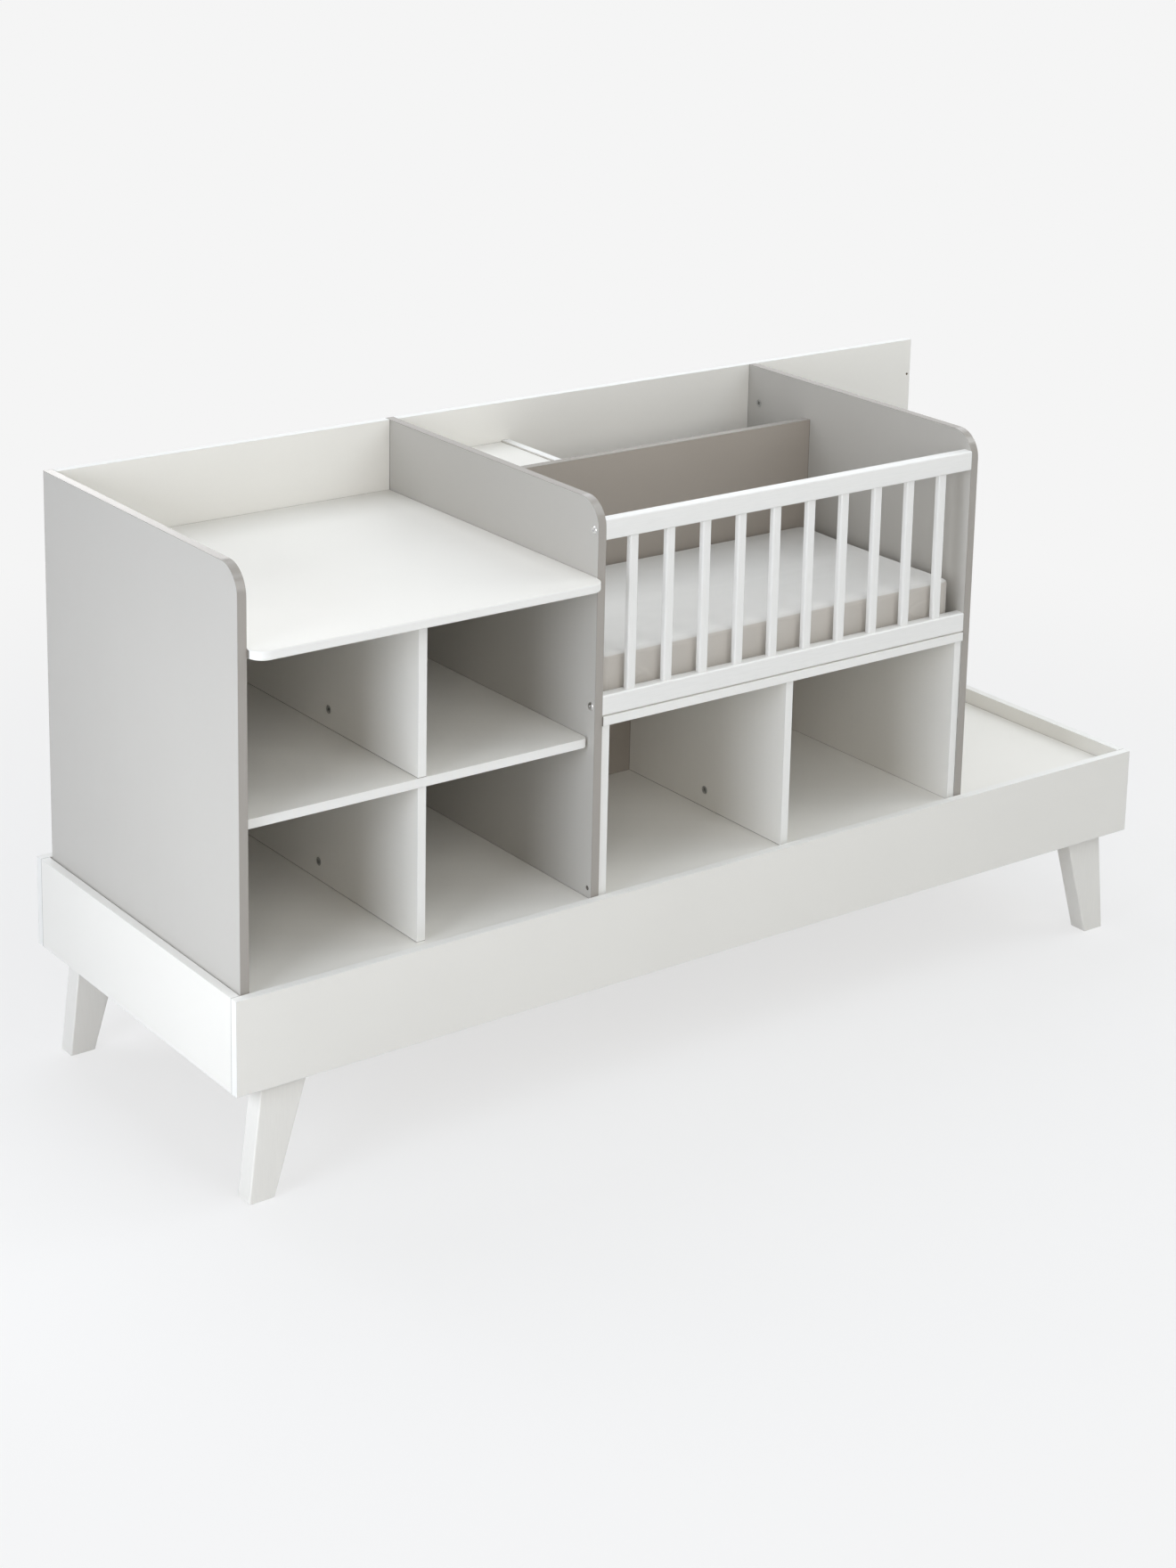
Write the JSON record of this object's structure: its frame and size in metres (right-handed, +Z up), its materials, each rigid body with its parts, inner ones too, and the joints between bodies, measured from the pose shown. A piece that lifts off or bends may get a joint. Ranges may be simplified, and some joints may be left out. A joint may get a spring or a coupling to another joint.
{
  "type": "crib with attached changer",
  "caption": "Convertible baby furniture: a long low bed frame on splayed legs carries a changing unit with niches, a slatted crib over open niches and a narrow rear bay.",
  "frame": {"origin": "on the floor, at the middle of the footprint's box", "axes": "+X along the bed from the changer to the free end, -Y is the front that the gate and the niches face, +Z up"},
  "size_m": [2, 0.71, 1.07],
  "materials": {
    "white_board": "satin white melamine board",
    "grey_board": "satin warm grey melamine board with taupe edge band",
    "taupe_board": "satin taupe melamine board",
    "beech": "plain planed beech",
    "zinc_steel": "zinc plated",
    "mattress_cover": "fine woven cotton cover"
  },
  "bodies": {
    "furniture": {"frame_front_board": "white_board", "frame_back_board": "white_board", "frame_left_board": "white_board", "frame_right_board": "white_board", "leg_front_left": "white_board", "leg_front_right": "white_board", "leg_back_left": "white_board", "leg_back_right": "white_board", "platform_left": "white_board", "platform_right": "white_board", "batten_front": "beech", "batten_back": "beech", "batten_left": "beech", "batten_right": "beech", "cross_rail_left": "beech", "cross_rail_middle": "beech", "cross_rail_right": "beech", "changer_side_panel": "grey_board", "middle_panel": "grey_board", "changer_back_panel": "white_board", "changer_bottom": "white_board", "divider_lower": "white_board", "changer_shelf": "white_board", "divider_upper": "white_board", "changing_top": "white_board", "crib_end_panel": "grey_board", "long_back_panel": "white_board", "partition_panel": "taupe_board", "crib_base": "white_board", "niche_bottom": "white_board", "niche_side_left": "white_board", "niche_side_right": "white_board", "niche_divider": "white_board", "rear_lid": "white_board", "rear_side": "white_board", "gate_top_rail": "white_board", "gate_bottom_rail": "white_board", "gate_bar_01": "white_board", "gate_bar_02": "white_board", "gate_bar_03": "white_board", "gate_bar_04": "white_board", "gate_bar_05": "white_board", "gate_bar_06": "white_board", "gate_bar_07": "white_board", "gate_bar_08": "white_board", "gate_bar_09": "white_board", "gate_bar_10": "white_board", "gate_bolts": "zinc_steel", "cam_locks": "zinc_steel", "cam_studs": "zinc_steel", "dowels": "beech", "leg_screws": "zinc_steel", "batten_screws": "zinc_steel"},
    "mattress": {"mattress": "mattress_cover"}
  },
  "joints": [
    {"name": "mattress_lift", "type": "slide", "parent": "furniture", "child": "mattress", "axis": [0, 0, 1], "range_m": [0, 0.4]}
  ]
}
